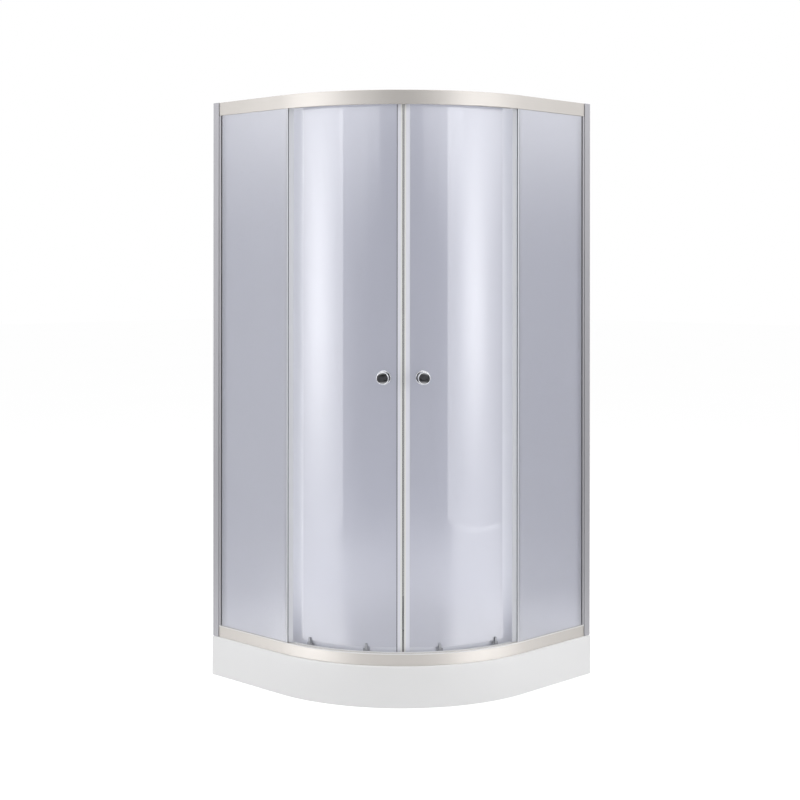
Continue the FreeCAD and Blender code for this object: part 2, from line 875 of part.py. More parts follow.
def wheel(radius, height):
    """A grooveless wheel with a bore and a pocket for the axle head."""
    profile = [
        (0, axle_radius + axle_play, 0),
        (0, radius, 0),
        (wheel_width, radius, 0),
        (wheel_width, axle_radius + axle_play, 0),
    ]
    body = turned(profile, height, wheel_inner)
    rims = [edge for edge in body.Edges if edge.BoundBox.ZLength > radius]
    rims = [edge for edge in rims if len(edge.Vertexes) == 1]
    body = body.makeChamfer(wheel_edge_bevel, rims)
    pocket = spindle(wheel_pocket_radius, wheel_outer - wheel_pocket_depth, wheel_outer, height)
    return body.cut(pocket)


def rod_line():
    """The distance of the release rod from the centre of the front."""
    return door_inner - clip_depth / 2


def clip_bottom():
    """The height of the lower end of the clip."""
    return rail_floor_edge - clip_foot


def spring_seat():
    """The height that the release spring stands on inside the clip."""
    return clip_bottom() + spring_seat_height


def lower_clip():
    """The clip on the lower edge of the glass, with its outer tab and the spring bore."""
    half = clip_width / 2
    top = rail_floor_edge + clip_top
    bottom = clip_bottom()
    back = door_inner - clip_depth
    cheek = door_outer + clip_cheek
    tab_half = clip_tab_width / 2
    tab_radii = (door_outer, door_outer + clip_tab_depth)
    cheek_top = rail_floor_edge + clip_cheek_top
    body = merged([
        front_box((back, door_inner), (-half, half), (bottom, top)),
        front_box((back, cheek), (-half, half), (bottom, door_foot)),
        front_box((door_outer - clip_cheek, cheek), (-half, half), (bottom, cheek_top)),
        front_box(tab_radii, (-tab_half, tab_half), (rail_floor_edge, rail_floor_edge + clip_tab_top)),
    ])
    bore = Part.makeCylinder(spring_bore_radius, top - spring_seat(), Vec(rod_line(), 0, spring_seat()))
    guide = Part.makeCylinder(rod_radius + rod_play, top - bottom, Vec(rod_line(), 0, bottom))
    return body.cut([bore, guide])


def lower_clip_on(angle):
    """The clip at its angle, with the slot for the pane taken out of it."""
    radii = (door_inner - seal_play, door_outer + seal_play)
    return on_front(lower_clip(), angle).cut(ring_sector(radii, (0, door_trail_angle), (door_foot, door_top)))


def release():
    """The sprung release: button, rod, collar, foot and the axle of the lower wheel."""
    line = rod_line()
    top = rail_floor_edge + clip_top
    button_bottom = top + release_travel + release_margin
    foot_top = clip_bottom() - foot_block_gap
    foot_bottom = foot_top - foot_block_height
    collar_bottom = top - collar_drop - collar_height
    half = foot_block_width / 2
    foot_end = door_outer + clip_cheek
    head_end = wheel_outer - axle_head_inset
    return merged([
        Part.makeCylinder(button_radius, button_height, Vec(line, 0, button_bottom)),
        Part.makeCylinder(rod_radius, button_bottom - foot_bottom, Vec(line, 0, foot_bottom)),
        Part.makeCylinder(spring_bore_radius - rod_play, collar_height, Vec(line, 0, collar_bottom)),
        front_box((line - half, foot_end), (-half, half), (foot_bottom, foot_top)),
        spindle(axle_radius, foot_end - overrun, head_end, lower_axle_height),
        spindle(axle_head_radius, head_end - axle_head_height, head_end, lower_axle_height),
    ])


def release_spring():
    """The coil spring between the seat in the clip and the collar of the release."""
    bottom = spring_seat() + spring_wire_radius
    top = rail_floor_edge + clip_top - collar_drop - collar_height - spring_wire_radius
    height = top - bottom
    path = Part.makeHelix(height / spring_turns, height, spring_coil_radius)
    start = Part.makeCircle(spring_wire_radius, Vec(spring_coil_radius, 0, 0), Vec(0, 1, 0))
    coil = Part.Wire(path).makePipeShell([Part.Wire(start)], True, True)
    coil.translate(Vec(rod_line(), 0, bottom))
    return coil


def both_sides(name, shapes):
    """Saves the left piece and its mirror image on the right."""
    write("left_" + name, shapes)
    write("right_" + name, [mirrored(shape) for shape in shapes])


# All nodes

write("tray", [tray()])
write("support_board", [support_board()])
foot_pads, foot_studs, foot_nuts = levelling_feet()
write("foot_pads", foot_pads)
write("foot_studs", foot_studs)
write("foot_nuts", foot_nuts)
write("waste_flange", [waste_flange()])
write("waste_gasket", [waste_gasket()])
write("waste_trap", [waste_trap()])
write("waste_cover", [waste_cover()])
write("bottom_rail", [rail(rail_floor_edge, -1, bottom_rail_height)])
write("top_rail", [rail(rail_roof_edge, 1, top_rail_height)])
blocks = corner_blocks()
write("corner_blocks", blocks + [mirrored(block) for block in blocks])
screws = frame_screws()
write("frame_screws", screws + [mirrored(screw) for screw in screws])
stops = door_stops()
write("door_stops", stops + [mirrored(stop) for stop in stops])
both_sides("wall_channel", [wall_channel()])
both_sides("glazing_profile", [glazing_profile()])
both_sides("glazing_gasket", [glazing_gasket()])
both_sides("fixed_glass", [fixed_glass()])
both_sides("fixed_seal", [fixed_seal()])
both_sides("door_glass", [door_glass()])
both_sides("magnet_seal", [magnet_seal()])
both_sides("magnet_strip", [on_front(magnet_box(0, 0), 0)])
both_sides("trailing_seal", [trailing_seal()])
knob_angle = arc_angle(knob_distance, door_outer)
both_sides("outer_knob", [on_front(knob(), knob_angle)])
both_sides("inner_knob", [on_front(inner_knob(), knob_angle)])
both_sides("knob_stud", [on_front(knob_stud(), knob_angle)])
both_sides("upper_bushes", [on_front(upper_bush(), angle) for angle in roller_angles()])
both_sides("upper_axles", [on_front(upper_axle(), angle) for angle in roller_angles()])
both_sides("lower_clips", [lower_clip_on(angle) for angle in roller_angles()])
for place, angle in zip(("lead", "trail"), roller_angles()):
    upper = wheel(upper_wheel_radius, upper_axle_height)
    lower = wheel(lower_wheel_radius, lower_axle_height)
    both_sides("upper_wheel_" + place, [on_front(upper, angle)])
    both_sides("lower_wheel_" + place, [on_front(lower, angle)])
    both_sides("release_" + place, [on_front(release(), angle)])
    both_sides("spring_" + place, [on_front(release_spring(), angle)])
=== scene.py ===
# %% [markdown]
# # A quarter-round shower cabin, dressed for its picture
# The cabin stands in the corner of a room: two flat fixed panes meet the walls, and two
# curved doors slide between a top rail and a bottom rail above a white tray.
# The solids come from the CAD model. This lesson gives them their finishes, adds the fine
# pieces that a CAD model leaves plain, and sets up a small photo studio around them.

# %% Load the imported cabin
import math

import bmesh
import bpy
from mathutils import Matrix, Vector


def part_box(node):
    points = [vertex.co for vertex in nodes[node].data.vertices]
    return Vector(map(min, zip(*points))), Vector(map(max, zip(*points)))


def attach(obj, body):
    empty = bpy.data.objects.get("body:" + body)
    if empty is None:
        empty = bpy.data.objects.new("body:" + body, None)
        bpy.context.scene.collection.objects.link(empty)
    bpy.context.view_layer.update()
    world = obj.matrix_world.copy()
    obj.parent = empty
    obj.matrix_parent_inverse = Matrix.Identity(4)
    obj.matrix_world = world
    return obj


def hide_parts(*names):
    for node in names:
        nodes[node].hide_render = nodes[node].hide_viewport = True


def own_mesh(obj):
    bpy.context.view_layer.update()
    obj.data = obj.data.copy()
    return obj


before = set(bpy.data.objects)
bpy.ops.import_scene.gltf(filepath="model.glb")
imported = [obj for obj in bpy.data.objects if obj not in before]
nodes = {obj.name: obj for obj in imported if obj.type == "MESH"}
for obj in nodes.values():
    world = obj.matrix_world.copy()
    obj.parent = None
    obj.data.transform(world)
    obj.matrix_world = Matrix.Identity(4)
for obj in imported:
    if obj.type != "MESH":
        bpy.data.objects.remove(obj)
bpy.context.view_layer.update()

# %% [markdown]
# ## The camera
# The picture was taken from straight in front of the doors, along the diagonal of the square
# plan, a little above half height, with the camera level. A level camera keeps upright edges
# parallel, so the cabin is brought to the middle of the picture with the lens shift and not by
# tilting the camera down.

# %% Camera in front of the doors
LENS = 68.54
SENSOR_WIDTH = 36.0
CAMERA_PLACE = (3.5835, -3.6711, 1.3592)
CAMERA_ROLL = -0.0008
CAMERA_HEADING = math.radians(45) - 0.0108
CAMERA_SHIFT_Y = -0.1623

camera_data = bpy.data.cameras.new("photo_camera")
camera_data.sensor_width = SENSOR_WIDTH
camera_data.lens = LENS
camera_data.shift_y = CAMERA_SHIFT_Y
camera = bpy.data.objects.new("photo_camera", camera_data)
camera.location = CAMERA_PLACE
camera.rotation_euler = (math.radians(90), CAMERA_ROLL, CAMERA_HEADING)
bpy.context.collection.objects.link(camera)
bpy.context.scene.camera = camera
print("camera", [round(x, 2) for x in CAMERA_PLACE], "lens", LENS, "mm")

# %% [markdown]
# ## Shader sums written as Python
# A finish is a small calculation: a pattern, stretched and mixed with a colour. Wiring the nodes
# one by one hides that, so this class wraps one output of a node. Plus, minus and times on it add
# Math nodes, and `node` adds any other node: its settings first, then the values or links of its
# sockets.

# %% A shader output that can be calculated with
class Tone:
    """One output of a shader node, which can be used in sums."""

    def __init__(self, tree, socket):
        self.tree = tree
        self.socket = socket

    def node(self, kind, settings, sockets, out=0):
        """Adds a node, sets it up, and gives one of its outputs."""
        made = self.tree.nodes.new(kind)
        for name, value in settings.items():
            setattr(made, name, value)
        for name, value in sockets.items():
            if isinstance(value, (Tone, list)):
                for link in value if isinstance(value, list) else [value]:
                    self.tree.links.new(link.socket, made.inputs[name])
            else:
                made.inputs[name].default_value = value
        return None if out is None else Tone(self.tree, made.outputs[out])

    def sum(self, operation, first, second):
        """A Math node with two values."""
        return self.node("ShaderNodeMath", {"operation": operation}, {0: first, 1: second})

    def __add__(self, other):
        return self.sum("ADD", self, other)

    def __sub__(self, other):
        return self.sum("SUBTRACT", self, other)

    def __rsub__(self, other):
        return self.sum("SUBTRACT", other, self)

    def __mul__(self, other):
        return self.sum("MULTIPLY", self, other)

    def stretched(self, x, y, z):
        """The same coordinates with each axis scaled."""
        return self.node("ShaderNodeMapping", {}, {"Vector": self, "Scale": (x, y, z)})

    def grain(self, scale, detail=3.0):
        """Noise from 0 to 1 on these coordinates."""
        sockets = {"Vector": self, "Scale": scale, "Detail": detail}
        return self.node("ShaderNodeTexNoise", {"noise_dimensions": "3D"}, sockets)

    def between(self, low, high):
        """Two colours mixed by this value."""
        settings = {"data_type": "RGBA", "clamp_factor": True}
        return self.node("ShaderNodeMix", settings, {0: self, 6: (*low, 1), 7: (*high, 1)}, out=2)

    def tinted(self, low, colour):
        """A colour output mixed towards a fixed colour by this value."""
        settings = {"data_type": "RGBA", "clamp_factor": True}
        return self.node("ShaderNodeMix", settings, {0: self, 6: low, 7: (*colour, 1)}, out=2)

    def part(self, axis):
        """One coordinate of a place."""
        return self.node("ShaderNodeSeparateXYZ", {}, {"Vector": self}, out=axis)

    def size(self):
        """This value without its sign."""
        return self.node("ShaderNodeMath", {"operation": "ABSOLUTE"}, {0: self})

    def rise(self, start, end):
        """A smooth step from 0 to 1 between two values."""
        sockets = {"Value": self, "From Min": start, "From Max": end}
        return self.node("ShaderNodeMapRange", {"interpolation_type": "SMOOTHSTEP"}, sockets)

    def bump(self, depth):
        """A normal that rises with this value, by a depth in metres."""
        return self.node("ShaderNodeBump", {}, {"Height": self, "Strength": 1.0, "Distance": depth})

    def into(self, shader, socket):
        """Links this output to a socket of a shader."""
        self.tree.links.new(self.socket, shader.inputs[socket])


def srgb(*screen):
    """A colour as it is read off a screen, 0 to 255, as the linear colour that a shader wants."""
    parts = [part / 255 for part in screen]
    return tuple(p / 12.92 if p < 0.04045 else ((p + 0.055) / 1.055) ** 2.4 for p in parts)


def finish(name, constants):
    """A new material, its shader with the constants set, and its Object coordinates."""
    material = bpy.data.materials.new(name)
    material.use_nodes = True
    tree = material.node_tree
    shader = tree.nodes["Principled BSDF"]
    for socket, value in constants.items():
        shader.inputs[socket].default_value = value
    place = Tone(tree, tree.nodes.new("ShaderNodeTexCoord").outputs["Object"])
    return material, shader, place


def dress(material, *names):
    """Gives a finish to CAD nodes through their material slots."""
    for name in names:
        nodes[name].data.materials[0] = material
    print(material.name, "on", len(names), "pieces")


SIDES = ("left", "right")


def both(*endings):
    """The names of the pieces that come once on each side."""
    return [side + "_" + ending for side in SIDES for ending in endings]


ACROSS = (0.7071, 0.7071, 0)


def across_the_doors(place):
    """How far a place lies to one side of the plane between the doors. It is negative on the left."""
    sockets = {0: place, 1: ACROSS}
    return place.node("ShaderNodeVectorMath", {"operation": "DOT_PRODUCT"}, sockets, out="Value")


print("two doors, so names come in pairs:", both("door_glass"))

# %% [markdown]
# ## White acrylic
# The tray is a moulded sheet of white sanitary acrylic. It is glossy but never perfectly flat:
# the sheet keeps a soft waviness from the mould, which blurs what it reflects, and a faint
# unevenness of its white. A wide noise makes the wave and a fine one the slight dulling of the
# gloss.

# %% Acrylic of the tray
ACRYLIC_BODY = {"IOR": 1.49, "Coat Weight": 0.25, "Coat Roughness": 0.08}
acrylic, shader, place = finish("white_acrylic", ACRYLIC_BODY)
cloud = place.grain(2.5)
cloud.between(srgb(241, 241, 242), srgb(246, 246, 246)).into(shader, "Base Color")
(place.grain(90.0) * 0.10 + 0.26).into(shader, "Roughness")
place.grain(14.0, 2.0).bump(0.0004).into(shader, "Normal")
dress(acrylic, "tray")

# %% [markdown]
# ## Satin anodised aluminium
# Rails, wall channels and glazing profiles are extruded aluminium with a satin, slightly warm
# anodised skin. Extrusion leaves hair lines along the length of a bar. A noise that is squeezed
# hard across the bar and hardly at all along it gives such lines, so the rails and the upright
# profiles need one finish each. The upright profiles' finish is darker and cooler, which is painted
# shade. The bottom rail has a shelf before the doors, which is painted pale and not metallic as a
# painted highlight along the rail's top edge. Its height alone marks it out on the rail.

# %% Two directions of anodised aluminium
SHELF_LOW, SHELF_HIGH = 0.1650, 0.1685
SHELF_BLUR = 0.0004
SQUEEZED, ALONG = 1400.0, 3.0


def painted_shelf_highlight(place):
    """1 on the shelf of the bottom rail, which is painted pale as a painted highlight."""
    height = place.part("Z")
    from_below = height.rise(SHELF_LOW, SHELF_LOW + SHELF_BLUR)
    return from_below * (1 - height.rise(SHELF_HIGH - SHELF_BLUR, SHELF_HIGH))


def anodised(name, dark, pale, across_plan, across_height, turn, strip=None):
    """Satin metal with its hair lines across the plan or across the height."""
    metal = {"Metallic": 1.0, "Anisotropic": 0.7, "Anisotropic Rotation": turn}
    material, shader, place = finish(name, metal)
    lines = place.stretched(across_plan, across_plan, across_height).grain(1.0, 4.0)
    cloud = place.grain(6.0)
    skin = (lines * 0.6 + cloud * 0.4).between(dark, pale)
    # The shelf is painted pale and not metallic: a painted highlight along the rail's top edge.
    if strip:
        skin = strip(place).tinted(skin, srgb(236, 236, 236))
        (1 - strip(place)).into(shader, "Metallic")
    skin.into(shader, "Base Color")
    (lines * 0.14 + 0.46).into(shader, "Roughness")
    lines.bump(0.00003).into(shader, "Normal")
    return material


rail_metal = anodised("anodised_along_the_rail", srgb(196, 192, 188), srgb(216, 212, 208),
                      ALONG, SQUEEZED, 0.25, painted_shelf_highlight)
# The uprights' darker, cooler colour is painted shade on the same aluminium as the rails.
shaded_upright_metal = anodised("anodised_upright_painted_shade", srgb(160, 160, 165), srgb(178, 177, 181),
                         SQUEEZED, ALONG, 0.0)
dress(rail_metal, "top_rail", "bottom_rail")
dress(shaded_upright_metal, *both("wall_channel", "glazing_profile"))

# %% [markdown]
# ## Satin glass
# The panes are toughened glass, smooth outside and satin inside, so they glow in a cool grey and
# still mirror the studio lamps. The satin body is a rough, partly transmitting base, and the smooth
# outer face is a clear coat with hardly any roughness. The coat's index is raised because both faces
# of a pane reflect. Toughening leaves a very slight wave in the glass. A door is painted paler by its
# trailing edge and along its foot: painted light over the shade of the fixed pane and the dark
# reflection of the rail there. A fixed pane looks dark on its free edge. A mask over the coordinates
# mixes such an edge colour into the body, which keeps each pane in one piece.

# %% Satin glass of doors and fixed panes
GLASS_BODY = {
    "IOR": 1.5,
    "Coat Weight": 1.0,
    "Coat Roughness": 0.02,
    "Coat IOR": 2.0,
    "Specular IOR Level": 0.6,
}
PANE_END = 0.078
ARRIS = 0.0012
PAINTED_SIDE, SIDE_BLUR = 0.316, 0.006
PAINTED_FOOT, FOOT_BLUR = 0.177, 0.004


def satin_glass(name, passing, satin, dark, pale, edge_shade, edge_colour):
    """Satin glass that lets a share of the light through, with another colour where the shade is 1."""
    material, shader, place = finish(name, {**GLASS_BODY, "Transmission Weight": passing})
    cloud = place.stretched(2.0, 2.0, 0.6).grain(1.5, 2.0)
    body = cloud.between(dark, pale)
    edge_shade(place).tinted(body, edge_colour).into(shader, "Base Color")
    (place.grain(700.0, 2.0) * 0.10 + satin).into(shader, "Roughness")
    place.stretched(1.0, 1.0, 0.35).grain(3.0, 1.0).bump(0.0006).into(shader, "Normal")
    return material


def free_edge(place):
    """1 on the free upright edge of a fixed pane, which stands nearest the middle of its side."""
    x, y = place.part("X"), place.part("Y")
    along = x.sum("MINIMUM", x.size(), y.size())
    return 1 - along.rise(PANE_END + ARRIS / 2, PANE_END + ARRIS)


def painted_light_margin(place):
    """1 on the margin of a door that is painted paler, as painted light over shade by its trailing
    edge and along its foot.
    """
    side = across_the_doors(place).size().rise(PAINTED_SIDE, PAINTED_SIDE + SIDE_BLUR)
    foot = 1 - place.part("Z").rise(PAINTED_FOOT, PAINTED_FOOT + FOOT_BLUR)
    return side.sum("MAXIMUM", side, foot)


# The doors' paler edge colour is painted light over the shade and dark reflection by the trailing edge
# and foot.
door_satin = satin_glass("satin_glass_curved", 0.92, 0.36, srgb(190, 192, 207), srgb(197, 199, 212),
                         painted_light_margin, srgb(235, 237, 247))
pane_satin = satin_glass("satin_glass_flat", 0.52, 0.24, srgb(201, 203, 217), srgb(208, 210, 222),
                         free_edge, srgb(84, 90, 98))
dress(door_satin, *both("door_glass"))
dress(pane_satin, *both("fixed_glass"))

# %% [markdown]
# ## Plastics and rubber
# The strip on a door's trailing edge is clear extruded plastic, the roller clips are moulded in
# grey, and the seals behind the glass are black rubber. Extruded strips carry long drawing lines,
# and moulded pieces a fine even grain, so one helper takes the stretch of the grain as its argument.

# %% Plastics, clear strips and rubber
def moulded(name, dark, pale, roughness, grain_scale, stretch, depth, constants):
    """Plastic or rubber between two shades, with a grain that also roughens and dents it."""
    material, shader, place = finish(name, constants)
    grain = place.stretched(*stretch).grain(grain_scale)
    (grain * 0.5 + place.grain(20.0) * 0.5).between(dark, pale).into(shader, "Base Color")
    (grain * 0.12 + roughness).into(shader, "Roughness")
    grain.bump(depth).into(shader, "Normal")
    return material


EVEN = (1.0, 1.0, 1.0)
DRAWN = (1.0, 1.0, 0.004)
DRAWN_LINES, DRAWN_DEPTH = 900.0, 0.00004
PLASTIC = {"IOR": 1.5}
white_moulded = moulded("white_moulded_plastic", srgb(222, 222, 222), srgb(236, 236, 235),
                        0.36, 600.0, EVEN, 0.00002, PLASTIC)
clear_strip = moulded("clear_extruded_strip", srgb(226, 228, 234), srgb(236, 237, 242),
                      0.24, DRAWN_LINES, DRAWN, DRAWN_DEPTH, {"IOR": 1.45, "Alpha": 0.12})
grey_moulded = moulded("grey_moulded_plastic", srgb(166, 168, 174), srgb(186, 188, 194),
                       0.40, 800.0, EVEN, 0.00003, PLASTIC)
dark_moulded = moulded("dark_moulded_plastic", srgb(30, 30, 32), srgb(46, 46, 49),
                       0.45, 800.0, EVEN, 0.00004, PLASTIC)
rubber = moulded("black_rubber", srgb(26, 26, 28), srgb(44, 44, 47),
                 0.55, 1200.0, EVEN, 0.00003, PLASTIC)
dress(clear_strip, *both("trailing_seal"))
wheels = both("upper_wheel_lead", "upper_wheel_trail", "lower_wheel_lead", "lower_wheel_trail")
dress(white_moulded, "waste_trap", *wheels, *both("release_lead", "release_trail", "upper_bushes"))
dress(grey_moulded, "corner_blocks", *both("lower_clips"))
dress(dark_moulded, "foot_pads")
dress(rubber, "door_stops", "waste_gasket", *both("glazing_gasket", "magnet_strip"))

# %% [markdown]
# The strip on the free edge of a fixed pane is a little milky. The edge of the glass shows through
# it as one dark line, and a fin reaches from there towards the door. How far out a point lies tells
# where the line runs.

# %% Strips on the fixed panes
EDGE_BACK, EDGE_FRONT = 0.4399, 0.4431
STRIP_BLUR = 0.0003
pane_strip, shader, place = finish("milky_extruded_strip", {"IOR": 1.45, "Alpha": 0.92})
outward = place.sum("MAXIMUM", place.part("X").size(), place.part("Y").size())
drawn = place.stretched(*DRAWN).grain(DRAWN_LINES)
milky = drawn.between(srgb(238, 240, 247), srgb(245, 247, 252))
before_edge = outward.rise(EDGE_FRONT - STRIP_BLUR, EDGE_FRONT + STRIP_BLUR)
edge = outward.rise(EDGE_BACK - STRIP_BLUR, EDGE_BACK + STRIP_BLUR) * (1 - before_edge)
edge.tinted(milky, srgb(74, 78, 86)).into(shader, "Base Color")
(drawn * 0.12 + 0.24).into(shader, "Roughness")
drawn.bump(DRAWN_DEPTH).into(shader, "Normal")
dress(pane_strip, *both("fixed_seal"))

# %% [markdown]
# The magnet profile is drawn from two plastics at once: a white head that holds the magnet and a
# cooler, thinner flange that grips the glass. A dark band where the two doors meet is painted shade
# in the gap between them, and a grey line along the left door's flange is a painted shadow. The
# distance from the plane between the doors tells them apart, so one finish serves both doors.

# %% Magnet profiles on the door edges
PAINTED_GAP, HEAD, PAINTED_LINE = 0.0029, 0.0085, 0.0181
PROFILE_BLUR = 0.0004
magnet_strip, shader, place = finish("magnet_profile", PLASTIC)
sideways = across_the_doors(place)
apart = sideways.size()
drawn = place.stretched(*DRAWN).grain(DRAWN_LINES)
white = drawn.between(srgb(238, 238, 238), srgb(247, 247, 246))
on_flange = apart.rise(HEAD - PROFILE_BLUR, HEAD + PROFILE_BLUR)
# The dark band where the doors meet is painted shade in the gap, and the grey line on the left flange
# is a painted shadow.
painted_gap_shade = 1 - apart.rise(PAINTED_GAP - PROFILE_BLUR, PAINTED_GAP + PROFILE_BLUR)
painted_shadow_line = 1 - sideways.rise(-PAINTED_LINE - PROFILE_BLUR, -PAINTED_LINE + PROFILE_BLUR)
flanged = on_flange.tinted(white, srgb(236, 237, 246))
with_gap_shade = painted_gap_shade.tinted(flanged, srgb(14, 14, 17))
painted_shadow_line.tinted(with_gap_shade, srgb(96, 96, 104)).into(shader, "Base Color")
(drawn * 0.12 + 0.32).into(shader, "Roughness")
drawn.bump(DRAWN_DEPTH).into(shader, "Normal")
dress(magnet_strip, *both("magnet_seal"))

# %% [markdown]
# ## Polished chrome
# The knobs, axle caps and waste cover are polished chrome, whose only variation is a film of
# wiping marks. The face of an outer knob is slightly raised, so it mirrors more of the room than a
# flat one. A bump that falls with the square of the distance from the knob's middle gives that.

# %% Polished chrome
DOME = 4.5


def polished_chrome(name):
    """Chrome with wiping marks: the material, its shader and its coordinates."""
    material, shader, place = finish(name, {"Metallic": 1.0})
    wiped = place.stretched(1.0, 1.0, 3.0).grain(60.0)
    wiped.between(srgb(222, 224, 228), srgb(232, 233, 236)).into(shader, "Base Color")
    (wiped * 0.06 + 0.03).into(shader, "Roughness")
    return material, shader, place


def reach_from(place, node):
    """The distance of a place from the middle of a CAD node."""
    low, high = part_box(node)
    sockets = {0: place, 1: (Vector(low) + Vector(high)) / 2}
    return place.node("ShaderNodeVectorMath", {"operation": "DISTANCE"}, sockets, out="Value")


knob_chrome, shader, place = polished_chrome("polished_chrome_knobs")
reach = place.sum("MINIMUM", *[reach_from(place, knob) for knob in both("outer_knob")])
(reach * reach * -DOME).bump(1.0).into(shader, "Normal")
dress(knob_chrome, *both("outer_knob"))
chrome, shader, place = polished_chrome("polished_chrome")
dress(chrome, "waste_cover", "waste_flange", *both("inner_knob", "upper_axles"))

# %% [markdown]
# ## Plated steel and chipboard
# Screws, studs and springs are zinc-plated steel, cloudy and duller than chrome. The board under the
# tray is raw chipboard: pressed flakes, which are cells of a Voronoi pattern with a colour each.

# %% Steel and board
steel, shader, place = finish("zinc_plated_steel", {"Metallic": 1.0})
cloud = place.grain(160.0)
cloud.between(srgb(176, 177, 176), srgb(212, 212, 208)).into(shader, "Base Color")
(cloud * 0.2 + 0.22).into(shader, "Roughness")
place.grain(1500.0).bump(0.00002).into(shader, "Normal")
dress(steel, "foot_nuts", "foot_studs", "frame_screws",
      *both("knob_stud", "spring_lead", "spring_trail"))

chipboard, shader, place = finish("raw_chipboard", {"IOR": 1.45})
cells = {"Vector": place.stretched(1, 1, 2.5), "Scale": 260.0}
flake = place.node("ShaderNodeTexVoronoi", {"feature": "F1"}, cells, out="Color")
flake_value = flake.node("ShaderNodeSeparateColor", {}, {"Color": flake})
wood = flake_value * 0.7 + place.grain(40.0) * 0.3
wood.between(srgb(150, 122, 88), srgb(206, 182, 143)).into(shader, "Base Color")
(flake_value * 0.15 + 0.7).into(shader, "Roughness")
flake_value.bump(0.0003).into(shader, "Normal")
dress(chipboard, "support_board")

# %% [markdown]
# ## Screws and studs grown from points
# Five screws on each wall side hold the frame together, and five threaded studs carry the tray.
# Each could be copied by hand, but what repeats is easier to keep even with Geometry Nodes: a tree
# takes a few points, sets the same shape on each, and makes one mesh of them. The tree is wired with
# the same class as the shaders. A modifier runs it once, its result is kept as a plain mesh, and the
# modifier goes.

# %% A tree, its inputs, and the mesh that it grows
def growing_tree(name, inputs):
    """An empty tree with named inputs. Gives the tree and its inputs by name."""
    tree = bpy.data.node_groups.new(name, "GeometryNodeTree")
    sockets = {"Points": "NodeSocketGeometry", **inputs, "Finish": "NodeSocketMaterial"}
    for label, kind in sockets.items():
        tree.interface.new_socket(label, in_out="INPUT", socket_type=kind)
    tree.interface.new_socket("Mesh", in_out="OUTPUT", socket_type="NodeSocketGeometry")
    given = tree.nodes.new("NodeGroupInput")
    return tree, {label: Tone(tree, given.outputs[label]) for label in sockets}


def set_on_points(given, shape, turn):
    """Ends a tree: the shape on each point, as real faces, with its finish."""
    points = given["Points"]
    sockets = {"Points": points, "Instance": shape, "Rotation": turn}
    copies = points.node("GeometryNodeInstanceOnPoints", {}, sockets)
    faces = points.node("GeometryNodeRealizeInstances", {}, {"Geometry": copies})
    sockets = {"Geometry": faces, "Material": given["Finish"]}
    dressed = points.node("GeometryNodeSetMaterial", {}, sockets)
    points.node("NodeGroupOutput", {}, {"Mesh": dressed}, out=None)


def grown(name, points, facings, tree, values):
    """A piece that the tree grows from points, each with the way that it faces."""
    seeds = bpy.data.meshes.new(name + "_points")
    seeds.from_pydata(points, [], [])
    ways = seeds.attributes.new("facing", "FLOAT_VECTOR", "POINT")
    ways.data.foreach_set("vector", [part for facing in facings for part in facing])
    piece = bpy.data.objects.new(name, seeds)
    bpy.context.collection.objects.link(piece)
    modifier = piece.modifiers.new("grow", "NODES")
    modifier.node_group = tree
    for item in tree.interface.items_tree:
        if item.in_out == "INPUT" and item.name in values:
            modifier[item.identifier] = values[item.name]
    graph = bpy.context.evaluated_depsgraph_get()
    mesh = bpy.data.meshes.new_from_object(piece.evaluated_get(graph))
    piece.modifiers.clear()
    piece.data = mesh
    print(name, "on", len(points), "points,", len(mesh.polygons), "faces")
    return piece


# %% [markdown]
# A frame screw has a low rounded head with a cross recess. The head is a stack of rings. Its top is
# filled between the last ring and the outline of the cross, and the cross then sinks into the head.

# %% Frame screws with a cross recess
SCREW_RINGS = ((0.0009, -0.013), (0.002, -0.0118), (0.002, 0), (0.004, 0),
               (0.004, 0.0012), (0.0036, 0.0020), (0.0029, 0.0024))
RING_POINTS = 32
CROSS_REACH, CROSS_HALF, CROSS_FLOOR = 0.0021, 0.0005, 0.0009
CROSS_TAPER = 0.7


def cross_outline(mesh, share, height):
    """The corners of a plus sign, made smaller by a share."""
    corners = []
    for quarter in range(4):
        turn = Matrix.Rotation(math.radians(90 * quarter), 3, "Z")
        for x, y in ((CROSS_HALF, CROSS_HALF), (CROSS_REACH, CROSS_HALF), (CROSS_REACH, -CROSS_HALF)):
            corners.append(mesh.verts.new(turn @ Vector((x * share, -y * share, height))))
    return corners


def skirt(mesh, low, high):
    """Faces between two closed rows of points."""
    for k in range(len(low)):
        after = (k + 1) % len(low)
        mesh.faces.new((low[k], low[after], high[after], high[k]))


def screw_shape():
    """One screw, with its head upwards and the underside of the head at the origin."""
    mesh = bmesh.new()
    rings = []
    for radius, height in SCREW_RINGS:
        turns = [2 * math.pi * k / RING_POINTS for k in range(RING_POINTS)]
        corners = [(radius * math.cos(t), radius * math.sin(t), height) for t in turns]
        rings.append([mesh.verts.new(corner) for corner in corners])
    for low, high in zip(rings, rings[1:]):
        skirt(mesh, low, high)
    mesh.faces.new(rings[0])
    rim = cross_outline(mesh, 1, SCREW_RINGS[-1][1])
    floor = cross_outline(mesh, CROSS_TAPER, CROSS_FLOOR)
    skirt(mesh, rim, floor)
    mesh.faces.new(floor)
    edges = [edge for edge in mesh.edges if len(edge.link_faces) == 1]
    bmesh.ops.triangle_fill(mesh, edges=edges, use_beauty=True)
    bmesh.ops.recalc_face_normals(mesh, faces=mesh.faces[:])
    data = bpy.data.meshes.new("screw_shape")
    mesh.to_mesh(data)
    mesh.free()
    shape = bpy.data.objects.new("screw_shape", data)
    bpy.context.collection.objects.link(shape)
    return shape


